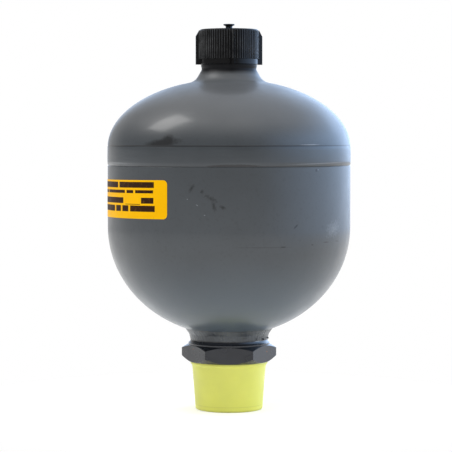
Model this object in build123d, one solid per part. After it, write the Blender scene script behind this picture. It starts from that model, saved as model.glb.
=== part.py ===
from build123d import *
import math
import os

# Small welded hydropneumatic accumulator: a gas neck above, an oil port below, and a rubber
# diaphragm between them. Millimetres. The origin is the centre of the face it stands on,
# which is the floor of the port cap, and +Z is up along the axis of the vessel.

# ---- vessel body -------------------------------------------------------------------------
BODY_RADIUS = 60.5          # outside of the straight wall
WALL = 6.0                  # steel wall of both halves
LOWER_END_DEPTH = 54.2      # height of the lower end, a half ellipse
STRAIGHT_LENGTH = 39.7      # straight wall between the two ends
UPPER_END_HEIGHT = 34.1     # height of the upper end, a half ellipse
SEAT_WALL = 4.5             # wall left round the clamp ring and the bead

# ---- port fitting ------------------------------------------------------------------------
HEX_ACROSS_FLATS = 41.0
HEX_HEIGHT = 9.1
HEX_TOP_FACE_SETBACK = 1.3      # upper chamfer starts this far inside the flats
HEX_TOP_CHAMFER_ANGLE = 30.0
HEX_BOTTOM_FACE_SETBACK = 0.1   # lower chamfer starts this far inside the flats
HEX_BOTTOM_CHAMFER_ANGLE = 38.0
COLLAR_SETBACK = 1.2            # collar inside the flats
COLLAR_HEIGHT = 1.7
SPIGOT_RADIUS = 15.0            # stands in the hole of the lower shell
STUB_THREAD_RADIUS = 16.5       # M33 x 1.5 outside
STUB_LENGTH = 12.5
STUB_UNDERCUT_RADIUS = 15.4
STUB_UNDERCUT_WIDTH = 2.0
STUB_CHAMFER = 1.5
PORT_THREAD_RADIUS = 9.3        # core of G 1/2 inside
PORT_THREAD_DEPTH = 14.5
PORT_MOUTH_CHAMFER = 1.2
DRILL_POINT_ANGLE = 59.0        # half the point angle of the drill
PASSAGE_RADIUS = 5.0

# ---- welds -------------------------------------------------------------------------------
PORT_WELD_TOE_RADIUS = 22.0     # upper edge of the bead, on the lower end
PORT_WELD_HEIGHT = 5.7          # from the collar to that edge
PORT_WELD_HOLLOW = 0.55         # how far the bead's face is hollowed
SEAM_BELOW_UPPER_END = 3.9      # seam centre to the start of the upper end
SEAM_WIDTH = 10.5
SEAM_ROOT_GAP = 2.0
SEAM_CROWN = 0.15

# ---- gas neck ----------------------------------------------------------------------------
NECK_FOOT_RADIUS = 17.0
NECK_FOOT_FILLET = 6.0
NECK_WAIST_RADIUS = 13.5
NECK_WAIST_HEIGHT = 6.0         # from the foot of the neck to its waist
NECK_WAIST_FILLET = 2.0
NECK_SHOULDER_RADIUS = 13.9
NECK_SHOULDER_RISE = 1.6        # from the waist to the lower edge of the shoulder
NECK_SHOULDER_HEIGHT = 0.8
GAS_THREAD_RADIUS = 12.0        # M24 x 1.5 outside
GAS_THREAD_LENGTH = 14.7
GAS_UNDERCUT_RADIUS = 11.0
GAS_UNDERCUT_WIDTH = 2.0
GAS_THREAD_CHAMFER = 1.0

# ---- charging screw ----------------------------------------------------------------------
SCREW_THREAD_RADIUS = 6.0
SCREW_HEAD_RADIUS = 8.0
SCREW_HEAD_HEIGHT = 4.5
SCREW_LENGTH = 19.0
SCREW_CHAMFER = 0.8
SCREW_SOCKET_ACROSS_FLATS = 6.0
SCREW_SOCKET_DEPTH = 3.2
VENT_SLOT_WIDTH = 2.0           # slot that lets gas past the thread when it is loosened
VENT_SLOT_LENGTH = 15.2
VENT_SLOT_DEPTH = 1.2
SCREW_CLEARANCE = 0.1
HEAD_CLEARANCE = 0.6
SEAL_THICKNESS = 1.5
SEAL_WIDTH = 2.0

# ---- gas cap -----------------------------------------------------------------------------
CAP_HEIGHT = 17.5
CAP_RADIUS = 14.5
CAP_ROOF = 1.5
CAP_BORE_CLEARANCE = 0.6
CAP_BAND_HEIGHT = 2.7           # smooth band below the ribs
CAP_EDGE_ROUND = 0.5
CAP_RIB_COUNT = 72
CAP_RIB_WIDTH = 0.55
CAP_RIB_HEIGHT = 0.4
CAP_LUG_COUNT = 4
CAP_LUG_ANGLE = -81.7           # first lug, counted from +X
CAP_LUG_RADIUS = 16.7
CAP_LUG_WIDTH = 2.5
CAP_LUG_ROOT = 0.75             # how far outside the bore a lug starts in the wall
CAP_LUG_CHAMFER_DEPTH = 1.7
CAP_LUG_CHAMFER_HEIGHT = 3.5
NUB_FOOT_RADIUS = 2.2
NUB_TOP_RADIUS = 2.9
NUB_HEIGHT = 2.7

# ---- port cap ----------------------------------------------------------------------------
PORT_CAP_HEIGHT = 24.3
PORT_CAP_WALL = 1.1
PORT_CAP_FLOOR = 1.2
PORT_CAP_TAPER = 4.1            # degrees on each side
PORT_CAP_CLEARANCE = 0.2        # round the stub where the cap is closest to it
PORT_CAP_FLANGE_SETBACK = 1.1   # flange inside the flats of the hexagon
PORT_CAP_FLANGE_THICKNESS = 1.3
PORT_CAP_FOOT_ROUND = 0.9
PORT_CAP_FLANGE_ROUND = 0.5

# ---- diaphragm, its bead, clamp ring and button ------------------------------------------
DIAPHRAGM_THICKNESS = 3.0
DIAPHRAGM_CLEARANCE = 0.3
BEAD_HEIGHT = 7.0
BEAD_BELOW_SEAM = 10.0          # top of the bead to the centre of the seam
BEAD_ROUND = 1.5
CLAMP_RING_THICKNESS = 3.0
CLAMP_RING_ABOVE_SEAM = 5.0
CLAMP_FOOT_HEIGHT = 3.0
CLAMP_RING_CLEARANCE = 0.3
BUTTON_RADIUS = 11.0
BUTTON_THICKNESS = 3.0
BUTTON_PROUD = 1.1              # how far the button stands above the port fitting
BUTTON_EDGE_ROUND = 0.8
BUTTON_SEAT_CLEARANCE = 0.4
BUTTON_STEM_RADIUS = 2.5
BUTTON_HEAD_RADIUS = 5.0
BUTTON_HEAD_THICKNESS = 1.2
BUTTON_HEAD_CLEARANCE = 0.3

# ---- label -------------------------------------------------------------------------------
LABEL_HEIGHT = 18.5
LABEL_LENGTH = 74.0             # along the wall
LABEL_THICKNESS = 0.15
LABEL_ABOVE_LOWER_END = 5.7     # lower edge of the label to the start of the lower end
LABEL_FRONT_ANGLE = -120.0      # front end of the label, counted from +X
LABEL_CORNER = 2.2

# ---- heights worked out from the sizes above ---------------------------------------------
HEX_FLAT_RADIUS = HEX_ACROSS_FLATS / 2
COLLAR_RADIUS = HEX_FLAT_RADIUS - COLLAR_SETBACK
HEX_BOTTOM = PORT_CAP_HEIGHT
HEX_TOP = HEX_BOTTOM + HEX_HEIGHT
COLLAR_TOP = HEX_TOP + COLLAR_HEIGHT
STUB_END = HEX_BOTTOM - STUB_LENGTH


def half_ellipse(across, radius, height):
    """Height of a half ellipse of this radius and height above its centre, at one radius."""
    return height * math.sqrt(1.0 - (across / radius) ** 2)


# The lower end stands on its weld bead: the toe of the bead fixes the height of the ellipse.
LOWER_END_CENTRE = (
    COLLAR_TOP
    + PORT_WELD_HEIGHT
    + half_ellipse(PORT_WELD_TOE_RADIUS, BODY_RADIUS, LOWER_END_DEPTH)
)
UPPER_END_CENTRE = LOWER_END_CENTRE + STRAIGHT_LENGTH
SEAM = UPPER_END_CENTRE - SEAM_BELOW_UPPER_END
INNER_RADIUS = BODY_RADIUS - WALL
INNER_DEPTH = LOWER_END_DEPTH - WALL
INNER_HEIGHT = UPPER_END_HEIGHT - WALL
SEAT_RADIUS = BODY_RADIUS - SEAT_WALL
BEAD_TOP = SEAM - BEAD_BELOW_SEAM
BEAD_BOTTOM = BEAD_TOP - BEAD_HEIGHT
CLAMP_TOP = SEAM + CLAMP_RING_ABOVE_SEAM
SPIGOT_TOP = LOWER_END_CENTRE - half_ellipse(SPIGOT_RADIUS, INNER_RADIUS, INNER_DEPTH)
BUTTON_TOP = SPIGOT_TOP + BUTTON_PROUD
BUTTON_SEAT = BUTTON_TOP - BUTTON_THICKNESS
NECK_FOOT = UPPER_END_CENTRE + half_ellipse(NECK_FOOT_RADIUS, BODY_RADIUS, UPPER_END_HEIGHT)
NECK_WAIST = NECK_FOOT + NECK_WAIST_HEIGHT
NECK_SHOULDER = NECK_WAIST + NECK_SHOULDER_RISE
CAP_SEAT = NECK_SHOULDER + NECK_SHOULDER_HEIGHT
GAS_BOSS_TOP = CAP_SEAT + GAS_THREAD_LENGTH
SCREW_HEAD_BOTTOM = GAS_BOSS_TOP - SCREW_HEAD_HEIGHT
SCREW_SEAT = SCREW_HEAD_BOTTOM - SEAL_THICKNESS
CAP_TOP = CAP_SEAT + CAP_HEIGHT


def line(*points):
    """Straight runs through points given as (radius, height)."""
    return Polyline(*points)


def end_arc(centre, radius, height, rim_radius, pole_radius):
    """Stretch of an elliptical end, from the rim towards the pole. A negative height hangs down."""
    start = math.degrees(math.acos(rim_radius / radius))
    stop = math.degrees(math.acos(pole_radius / radius))
    side = math.copysign(1.0, height)
    return EllipticalCenterArc(
        (0, centre), radius, abs(height), side * start, arc_size=side * (stop - start)
    )


def turned(*curves):
    """Solid of revolution about the vertical axis from a closed outline of (radius, height)."""
    return revolve(Plane.XZ * make_face(Curve() + list(curves)), Axis.Z)


def ring_edges(solid, radius, height):
    """The circular edges of a solid that have this radius and lie at this height."""
    circles = solid.edges().filter_by(GeomType.CIRCLE)
    return circles.filter_by(
        lambda e: abs(e.radius - radius) < 0.01 and abs(e.arc_center.Z - height) < 0.01
    )


def outer_radius(height):
    """Outside radius of the body at a height on the straight wall or the upper end."""
    rise = max(height - UPPER_END_CENTRE, 0.0)
    return BODY_RADIUS * math.sqrt(1.0 - (rise / UPPER_END_HEIGHT) ** 2)


def hexagon(across_flats, height, bottom):
    """Upright hexagonal prism with one flat towards -Y."""
    outline = RegularPolygon(across_flats / 2, 6, major_radius=False)
    return extrude(Pos(0, 0, bottom) * outline, height)


# ---- vessel halves -----------------------------------------------------------------------
def make_lower_shell():
    """Deep lower half, with a stepped seat for the bead and a bevelled edge for the seam."""
    outside = end_arc(
        LOWER_END_CENTRE, BODY_RADIUS, -LOWER_END_DEPTH, BODY_RADIUS, SPIGOT_RADIUS
    )
    inside = end_arc(
        LOWER_END_CENTRE, INNER_RADIUS, -INNER_DEPTH, INNER_RADIUS, SPIGOT_RADIUS
    )
    edge = line(
        inside @ 0,
        (INNER_RADIUS, BEAD_BOTTOM),
        (SEAT_RADIUS, BEAD_BOTTOM),
        (SEAT_RADIUS, SEAM - SEAM_ROOT_GAP / 2),
        (BODY_RADIUS, SEAM - SEAM_WIDTH / 2),
        outside @ 0,
    )
    return turned(outside, line(outside @ 1, inside @ 1), inside, edge)


def make_upper_shell():
    """Upper half with the gas neck, the threaded boss and the bore for the charging screw."""
    seam_top = SEAM + SEAM_WIDTH / 2
    clamp_ledge = CLAMP_TOP + CLAMP_RING_CLEARANCE
    inner_ledge_radius = INNER_RADIUS * math.sqrt(
        1.0 - (max(clamp_ledge - UPPER_END_CENTRE, 0.0) / INNER_HEIGHT) ** 2
    )
    bore_radius = SCREW_THREAD_RADIUS + SCREW_CLEARANCE
    outside = end_arc(
        UPPER_END_CENTRE, BODY_RADIUS, UPPER_END_HEIGHT, outer_radius(seam_top), NECK_FOOT_RADIUS
    )
    inside = end_arc(
        UPPER_END_CENTRE, INNER_RADIUS, INNER_HEIGHT, inner_ledge_radius, bore_radius
    )
    neck = line(
        outside @ 1,
        (NECK_WAIST_RADIUS, NECK_WAIST),
        (NECK_SHOULDER_RADIUS, NECK_SHOULDER),
        (NECK_SHOULDER_RADIUS, CAP_SEAT),
        (GAS_UNDERCUT_RADIUS, CAP_SEAT),
        (GAS_UNDERCUT_RADIUS, CAP_SEAT + GAS_UNDERCUT_WIDTH - GAS_THREAD_CHAMFER),
        (GAS_THREAD_RADIUS, CAP_SEAT + GAS_UNDERCUT_WIDTH),
        (GAS_THREAD_RADIUS, GAS_BOSS_TOP - GAS_THREAD_CHAMFER),
        (GAS_THREAD_RADIUS - GAS_THREAD_CHAMFER, GAS_BOSS_TOP),
        (SCREW_HEAD_RADIUS + HEAD_CLEARANCE, GAS_BOSS_TOP),
        (SCREW_HEAD_RADIUS + HEAD_CLEARANCE, SCREW_SEAT),
        (bore_radius, SCREW_SEAT),
        inside @ 1,
    )
    seam_edge = line(
        inside @ 0,
        (SEAT_RADIUS, clamp_ledge),
        (SEAT_RADIUS, SEAM + SEAM_ROOT_GAP / 2),
        outside @ 0,
    )
    shell = turned(outside, neck, inside, seam_edge)
    shell = fillet(ring_edges(shell, NECK_FOOT_RADIUS, NECK_FOOT), NECK_FOOT_FILLET)
    return fillet(ring_edges(shell, NECK_WAIST_RADIUS, NECK_WAIST), NECK_WAIST_FILLET)


def make_seam_weld():
    """Ring of weld metal in the bevel between the halves, with a low crown."""
    top = SEAM + SEAM_WIDTH / 2
    bottom = SEAM - SEAM_WIDTH / 2
    crown = ThreePointArc(
        (BODY_RADIUS, bottom), (BODY_RADIUS + SEAM_CROWN, SEAM), (outer_radius(top), top)
    )
    bevel = line(
        crown @ 1,
        (SEAT_RADIUS, SEAM + SEAM_ROOT_GAP / 2),
        (SEAT_RADIUS, SEAM - SEAM_ROOT_GAP / 2),
        crown @ 0,
    )
    return turned(crown, bevel)


# ---- port fitting and its weld -----------------------------------------------------------
def make_port_fitting():
    """Hexagon with collar and spigot above, and the stub with both threads below."""
    corner = HEX_ACROSS_FLATS  # well past the corners of the hexagon
    top_face = HEX_FLAT_RADIUS - HEX_TOP_FACE_SETBACK
    bottom_face = HEX_FLAT_RADIUS - HEX_BOTTOM_FACE_SETBACK
    rise_top = (corner - top_face) * math.tan(math.radians(HEX_TOP_CHAMFER_ANGLE))
    rise_bottom = (corner - bottom_face) * math.tan(math.radians(HEX_BOTTOM_CHAMFER_ANGLE))
    chamfers = turned(
        line(
            (0, HEX_BOTTOM),
            (bottom_face, HEX_BOTTOM),
            (corner, HEX_BOTTOM + rise_bottom),
            (corner, HEX_TOP + rise_bottom),
            (0, HEX_TOP + rise_bottom),
            (0, HEX_BOTTOM),
        )
    ) & turned(
        line(
            (0, HEX_TOP),
            (top_face, HEX_TOP),
            (corner, HEX_TOP - rise_top),
            (corner, HEX_BOTTOM - rise_top),
            (0, HEX_BOTTOM - rise_top),
            (0, HEX_TOP),
        )
    )
    body = chamfers & hexagon(HEX_ACROSS_FLATS, HEX_HEIGHT, HEX_BOTTOM)
    turned_ends = turned(
        line(
            (0, STUB_END),
            (STUB_THREAD_RADIUS - STUB_CHAMFER, STUB_END),
            (STUB_THREAD_RADIUS, STUB_END + STUB_CHAMFER),
            (STUB_THREAD_RADIUS, HEX_BOTTOM - STUB_UNDERCUT_WIDTH),
            (STUB_UNDERCUT_RADIUS, HEX_BOTTOM - STUB_UNDERCUT_WIDTH / 2),
            (STUB_UNDERCUT_RADIUS, HEX_BOTTOM),
            (COLLAR_RADIUS, HEX_BOTTOM + HEX_HEIGHT / 2),
            (COLLAR_RADIUS, COLLAR_TOP),
            (SPIGOT_RADIUS, COLLAR_TOP),
            (SPIGOT_RADIUS, SPIGOT_TOP),
            (0, SPIGOT_TOP),
            (0, STUB_END),
        )
    )
    seat_radius = BUTTON_RADIUS + BUTTON_SEAT_CLEARANCE
    thread_end = STUB_END + PORT_THREAD_DEPTH
    drill_rise = (PORT_THREAD_RADIUS - PASSAGE_RADIUS) / math.tan(
        math.radians(DRILL_POINT_ANGLE)
    )
    bore = turned(
        line(
            (0, STUB_END),
            (PORT_THREAD_RADIUS + PORT_MOUTH_CHAMFER, STUB_END),
            (PORT_THREAD_RADIUS, STUB_END + PORT_MOUTH_CHAMFER),
            (PORT_THREAD_RADIUS, thread_end),
            (PASSAGE_RADIUS, thread_end + drill_rise),
            (PASSAGE_RADIUS, BUTTON_SEAT),
            (seat_radius, BUTTON_SEAT),
            (seat_radius, SPIGOT_TOP),
            (0, SPIGOT_TOP),
            (0, STUB_END),
        )
    )
    return body + turned_ends - bore


def make_port_weld():
    """Bead from the collar of the port fitting to the lower end, hollowed in its face."""
    toe_height = COLLAR_TOP + PORT_WELD_HEIGHT
    under = end_arc(
        LOWER_END_CENTRE, BODY_RADIUS, -LOWER_END_DEPTH, PORT_WELD_TOE_RADIUS, SPIGOT_RADIUS
    )
    middle_radius = (COLLAR_RADIUS + PORT_WELD_TOE_RADIUS) / 2 - PORT_WELD_HOLLOW
    face = ThreePointArc(
        (COLLAR_RADIUS, COLLAR_TOP),
        (middle_radius, (COLLAR_TOP + toe_height) / 2),
        under @ 0,
    )
    root = line(under @ 1, (SPIGOT_RADIUS, COLLAR_TOP), (COLLAR_RADIUS, COLLAR_TOP))
    return turned(face, under, root)


# ---- inside: diaphragm, clamp ring, button -----------------------------------------------
def make_diaphragm():
    """Rubber bowl along the lower half, with a thick bead at its rim and a hole for the stem."""
    outer = INNER_RADIUS - DIAPHRAGM_CLEARANCE
    outer_depth = INNER_DEPTH - DIAPHRAGM_CLEARANCE
    inner = outer - DIAPHRAGM_THICKNESS
    inner_depth = outer_depth - DIAPHRAGM_THICKNESS
    floor_top = BUTTON_TOP + DIAPHRAGM_THICKNESS
    outer_floor = outer * math.sqrt(1.0 - ((LOWER_END_CENTRE - BUTTON_TOP) / outer_depth) ** 2)
    inner_floor = inner * math.sqrt(1.0 - ((LOWER_END_CENTRE - floor_top) / inner_depth) ** 2)
    outside = end_arc(LOWER_END_CENTRE, outer, -outer_depth, outer, outer_floor)
    inside = end_arc(LOWER_END_CENTRE, inner, -inner_depth, inner, inner_floor)
    hole = BUTTON_STEM_RADIUS + BUTTON_HEAD_CLEARANCE
    floor = line(outside @ 1, (hole, BUTTON_TOP), (hole, floor_top), inside @ 1)
    bead = line(
        inside @ 0,
        (inner, BEAD_TOP),
        (SEAT_RADIUS, BEAD_TOP),
        (SEAT_RADIUS, BEAD_BOTTOM),
        (outer, BEAD_BOTTOM),
        outside @ 0,
    )
    bowl = turned(outside, floor, inside, bead)
    return fillet(ring_edges(bowl, inner, BEAD_TOP), BEAD_ROUND)


def make_clamp_ring():
    """Steel ring that presses on the bead with its foot and backs the root of the seam."""
    foot_inside = INNER_RADIUS - DIAPHRAGM_CLEARANCE - DIAPHRAGM_THICKNESS + BEAD_ROUND
    wall_inside = SEAT_RADIUS - CLAMP_RING_THICKNESS
    ring = turned(
        line(
            (SEAT_RADIUS, BEAD_TOP),
            (foot_inside, BEAD_TOP),
            (foot_inside, BEAD_TOP + CLAMP_FOOT_HEIGHT),
            (wall_inside, BEAD_TOP + CLAMP_FOOT_HEIGHT),
            (wall_inside, CLAMP_TOP),
            (SEAT_RADIUS, CLAMP_TOP),
            (SEAT_RADIUS, BEAD_TOP),
        )
    )
    return ring


def make_closing_button():
    """Disc that closes the passage, with the headed stem that holds it in the diaphragm."""
    head_bottom = BUTTON_TOP + DIAPHRAGM_THICKNESS + BUTTON_HEAD_CLEARANCE
    head_top = head_bottom + BUTTON_HEAD_THICKNESS
    button = turned(
        line(
            (0, BUTTON_SEAT),
            (BUTTON_RADIUS, BUTTON_SEAT),
            (BUTTON_RADIUS, BUTTON_TOP),
            (BUTTON_STEM_RADIUS, BUTTON_TOP),
            (BUTTON_STEM_RADIUS, head_bottom),
            (BUTTON_HEAD_RADIUS, head_bottom),
            (BUTTON_HEAD_RADIUS, head_top),
            (0, head_top),
            (0, BUTTON_SEAT),
        )
    )
    return fillet(ring_edges(button, BUTTON_RADIUS, BUTTON_SEAT), BUTTON_EDGE_ROUND)


# ---- gas side: screw, seal, cap ----------------------------------------------------------
def make_charging_screw():
    """Socket-head screw that closes the gas side."""
    shank_end = SCREW_HEAD_BOTTOM - SCREW_LENGTH
    screw = turned(
        line(
            (0, shank_end),
            (SCREW_THREAD_RADIUS - SCREW_CHAMFER, shank_end),
            (SCREW_THREAD_RADIUS, shank_end + SCREW_CHAMFER),
            (SCREW_THREAD_RADIUS, SCREW_HEAD_BOTTOM),
            (SCREW_HEAD_RADIUS, SCREW_HEAD_BOTTOM),
            (SCREW_HEAD_RADIUS, GAS_BOSS_TOP - SCREW_CHAMFER),
            (SCREW_HEAD_RADIUS - SCREW_CHAMFER, GAS_BOSS_TOP),
            (0, GAS_BOSS_TOP),
            (0, shank_end),
        )
    )
    socket = hexagon(
        SCREW_SOCKET_ACROSS_FLATS, SCREW_SOCKET_DEPTH, GAS_BOSS_TOP - SCREW_SOCKET_DEPTH
    )
    slot = Pos(0, SCREW_THREAD_RADIUS - VENT_SLOT_DEPTH, shank_end) * Box(
        VENT_SLOT_WIDTH,
        2 * VENT_SLOT_DEPTH,
        VENT_SLOT_LENGTH,
        align=(Align.CENTER, Align.MIN, Align.MIN),
    )
    return screw - socket - slot


def make_charging_seal():
    """Flat sealing ring between the head of the screw and its seat."""
    inside = SCREW_HEAD_RADIUS - SEAL_WIDTH + SCREW_CLEARANCE
    outside = SCREW_HEAD_RADIUS + SCREW_CLEARANCE
    return turned(
        line(
            (inside, SCREW_SEAT),
            (outside, SCREW_SEAT),
            (outside, SCREW_HEAD_BOTTOM),
            (inside, SCREW_HEAD_BOTTOM),
            (inside, SCREW_SEAT),
        )
    )


def make_gas_cap():
    """Moulded screw cap: fine ribs, four lugs with cut-back tops, and a small nub."""
    bore = GAS_THREAD_RADIUS + CAP_BORE_CLEARANCE
    shell = turned(
        line(
            (bore, CAP_SEAT),
            (CAP_RADIUS, CAP_SEAT),
            (CAP_RADIUS, CAP_TOP),
            (NUB_FOOT_RADIUS, CAP_TOP),
            (NUB_TOP_RADIUS, CAP_TOP + NUB_HEIGHT),
            (0, CAP_TOP + NUB_HEIGHT),
            (0, CAP_TOP - CAP_ROOF),
            (bore, CAP_TOP - CAP_ROOF),
            (bore, CAP_SEAT),
        )
    )
    shell = fillet(ring_edges(shell, CAP_RADIUS, CAP_TOP), CAP_EDGE_ROUND)
    rib_foot = CAP_SEAT + CAP_BAND_HEIGHT
    rib_height = CAP_TOP - CAP_EDGE_ROUND - rib_foot
    rib = Rectangle(2 * CAP_RIB_HEIGHT, CAP_RIB_WIDTH)
    rib_section = Circle(CAP_RADIUS) + PolarLocations(CAP_RADIUS, CAP_RIB_COUNT) * rib
    ribs = extrude(Pos(0, 0, rib_foot) * (rib_section - Circle(bore)), rib_height)
    lug_side = Plane.XZ * make_face(
        line(
            (bore + CAP_LUG_ROOT, CAP_SEAT),
            (CAP_LUG_RADIUS, CAP_SEAT),
            (CAP_LUG_RADIUS, CAP_TOP - CAP_LUG_CHAMFER_HEIGHT),
            (CAP_LUG_RADIUS - CAP_LUG_CHAMFER_DEPTH, CAP_TOP - CAP_EDGE_ROUND),
            (bore + CAP_LUG_ROOT, CAP_TOP - CAP_EDGE_ROUND),
            (bore + CAP_LUG_ROOT, CAP_SEAT),
        )
    )
    lug = extrude(lug_side, CAP_LUG_WIDTH / 2, both=True)
    lugs = [Rot(0, 0, CAP_LUG_ANGLE + 360 / CAP_LUG_COUNT * i) * lug for i in range(CAP_LUG_COUNT)]
    return shell + ribs + lugs


def make_port_cap():
    """Tapered plastic cap, pushed over the stub until its flange meets the hexagon."""
    slope = math.tan(math.radians(PORT_CAP_TAPER))
    grip_height = STUB_END + STUB_CHAMFER
    grip_radius = STUB_THREAD_RADIUS + PORT_CAP_CLEARANCE

    def inner_radius(height):
        return grip_radius + (height - grip_height) * slope

    flange_bottom = PORT_CAP_HEIGHT - PORT_CAP_FLANGE_THICKNESS
    neck_radius = inner_radius(flange_bottom) + PORT_CAP_WALL
    foot_radius = inner_radius(0) + PORT_CAP_WALL
    flange_radius = HEX_FLAT_RADIUS - PORT_CAP_FLANGE_SETBACK
    cap = turned(
        line(
            (0, 0),
            (foot_radius, 0),
            (neck_radius, flange_bottom),
            (flange_radius, flange_bottom),
            (flange_radius, PORT_CAP_HEIGHT),
            (inner_radius(PORT_CAP_HEIGHT), PORT_CAP_HEIGHT),
            (inner_radius(PORT_CAP_FLOOR), PORT_CAP_FLOOR),
            (0, PORT_CAP_FLOOR),
            (0, 0),
        )
    )
    cap = fillet(ring_edges(cap, foot_radius, 0), PORT_CAP_FOOT_ROUND)
    cap = fillet(ring_edges(cap, flange_radius, flange_bottom), PORT_CAP_FLANGE_ROUND)
    return fillet(
        ring_edges(cap, inner_radius(PORT_CAP_FLOOR), PORT_CAP_FLOOR), PORT_CAP_FLANGE_ROUND
    )


# ---- label -------------------------------------------------------------------------------
def make_label():
    """Curved sticker on the straight wall, with rounded corners."""
    bottom = LOWER_END_CENTRE + LABEL_ABOVE_LOWER_END
    sweep = math.degrees(LABEL_LENGTH / BODY_RADIUS)
    section = Rectangle(LABEL_THICKNESS, LABEL_HEIGHT, align=(Align.MIN, Align.MIN))
    strip = revolve(Plane.XZ * Pos(BODY_RADIUS, bottom) * section, Axis.Z, sweep)
    corners = strip.edges().filter_by(
        lambda e: e.geom_type == GeomType.LINE and abs(e.length - LABEL_THICKNESS) < 0.001
    )
    strip = fillet(corners, LABEL_CORNER)
    return Rot(0, 0, LABEL_FRONT_ANGLE - sweep) * strip


PIECES = {
    "lower_shell": make_lower_shell,
    "upper_shell": make_upper_shell,
    "seam_weld": make_seam_weld,
    "port_fitting": make_port_fitting,
    "port_weld": make_port_weld,
    "diaphragm": make_diaphragm,
    "clamp_ring": make_clamp_ring,
    "closing_button": make_closing_button,
    "charging_screw": make_charging_screw,
    "charging_seal": make_charging_seal,
    "gas_cap": make_gas_cap,
    "port_cap": make_port_cap,
    "label": make_label,
}

os.makedirs("parts", exist_ok=True)
for node, make in PIECES.items():
    export_step(make(), f"parts/{node}.step")
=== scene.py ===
import math

import bmesh
import bpy
from mathutils import Matrix, Vector, noise


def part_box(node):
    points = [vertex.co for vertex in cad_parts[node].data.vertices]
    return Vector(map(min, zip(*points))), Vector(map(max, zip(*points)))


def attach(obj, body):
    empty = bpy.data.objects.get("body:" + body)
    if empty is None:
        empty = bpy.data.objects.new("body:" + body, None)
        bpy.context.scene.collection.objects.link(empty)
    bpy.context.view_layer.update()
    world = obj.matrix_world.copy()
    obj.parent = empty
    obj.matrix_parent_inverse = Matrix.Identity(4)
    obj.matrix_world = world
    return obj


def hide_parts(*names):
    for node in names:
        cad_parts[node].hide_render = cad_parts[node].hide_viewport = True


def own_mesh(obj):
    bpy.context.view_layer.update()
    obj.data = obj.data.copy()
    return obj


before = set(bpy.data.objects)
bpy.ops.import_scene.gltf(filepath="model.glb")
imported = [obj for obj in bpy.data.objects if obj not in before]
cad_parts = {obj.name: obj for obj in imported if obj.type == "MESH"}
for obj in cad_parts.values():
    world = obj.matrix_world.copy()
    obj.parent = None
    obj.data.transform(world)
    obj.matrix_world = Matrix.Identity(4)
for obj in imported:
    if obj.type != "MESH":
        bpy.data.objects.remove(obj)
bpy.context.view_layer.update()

bl_info = {
    "name": "Hydropneumatic Accumulator",
    "version": (1, 0, 0),
    "blender": (4, 5, 0),
    "location": "3D View > Sidebar > Accumulator",
    "description": "Dresses a small welded accumulator: painted shells, welds, port and caps",
    "category": "Object",
}

MM = 0.001
FULL_TURN = 2.0 * math.pi
WHITE = (1.0, 1.0, 1.0, 1.0)


def low(node, axis=2):
    """Lowest coordinate of a node of the frame, in millimetres."""
    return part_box(node)[0][axis] / MM


def high(node, axis=2):
    """Highest coordinate of a node of the frame, in millimetres."""
    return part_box(node)[1][axis] / MM


def beside(share):
    """Other side of a right triangle whose longest side is 1; gives points on ellipses."""
    return math.sqrt(1 - share ** 2)


# Places of the solid pieces, in millimetres.
BODY_R = high("lower_shell", 0)
WALL = 6.0
INNER_R = BODY_R - WALL
SEAT_R = BODY_R - 4.5
LOWER_DEPTH = 54.2
UPPER_HEIGHT = 34.1
TOE_R = 22.0
NECK_FOOT_R = 17.0
COLLAR_R = 19.3
SPIGOT_R = 15.0
SEAM_LOW = low("seam_weld")
SEAM_HIGH = high("seam_weld")
SEAM_MID = (SEAM_LOW + SEAM_HIGH) / 2
STUB_END = low("port_fitting")
SPIGOT_TOP = high("port_fitting")
COLLAR_TOP = low("port_weld")
TOE_TOP = high("port_weld")
HEX_LOW = high("port_cap")
HEX_TOP = COLLAR_TOP - 1.7
LOWER_CENTRE = TOE_TOP + LOWER_DEPTH * beside(TOE_R / BODY_R)
UPPER_CENTRE = SEAM_MID + 3.9
SEAM_RIM = BODY_R * beside((SEAM_HIGH - UPPER_CENTRE) / UPPER_HEIGHT)
NECK_FOOT = UPPER_CENTRE + UPPER_HEIGHT * beside(NECK_FOOT_R / BODY_R)
CAP_SEAT = low("gas_cap")
BOSS_TOP = high("upper_shell")
NUB_HEIGHT = 2.7
CAP_TOP = high("gas_cap") - NUB_HEIGHT
BAND_HEIGHT = 2.7
BEAD_TOP = low("clamp_ring")
BEAD_LOW = BEAD_TOP - 7.0
RIBS = 72


# ---- sizes and colours -------------------------------------------------------------------
def length_property(name, description, default):
    return bpy.props.FloatProperty(
        name=name, description=description, default=default, min=0.0, unit="LENGTH"
    )


def colour_property(name, description, default):
    return bpy.props.FloatVectorProperty(
        name=name, description=description, default=default, size=3, min=0.0, max=1.0,
        subtype="COLOR",
    )


class AccumulatorSizes(bpy.types.PropertyGroup):
    """Sizes of the dressing that a user would change."""

    edge_round: length_property("Edge round", "Rounding of machined edges", 0.00025)
    gas_pitch: length_property("Gas thread pitch", "Pitch of the thread on the gas neck", 0.0015)
    stub_pitch: length_property("Stub pitch", "Pitch of the outside thread of the port", 0.0015)
    port_pitch: length_property("Port pitch", "Pitch of the inside thread of the port", 0.001814)
    screw_pitch: length_property("Screw pitch", "Pitch of the charging screw", 0.00175)
    rib_height: length_property("Rib height", "Height of the grip ribs on the gas cap", 0.0004)
    weld_wave: length_property("Weld wave", "Height of the ripples on the port weld", 0.00022)
    camera_lens: bpy.props.FloatProperty(
        name="Camera lens", description="Focal length of the camera", default=155.6, unit="CAMERA"
    )


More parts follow.
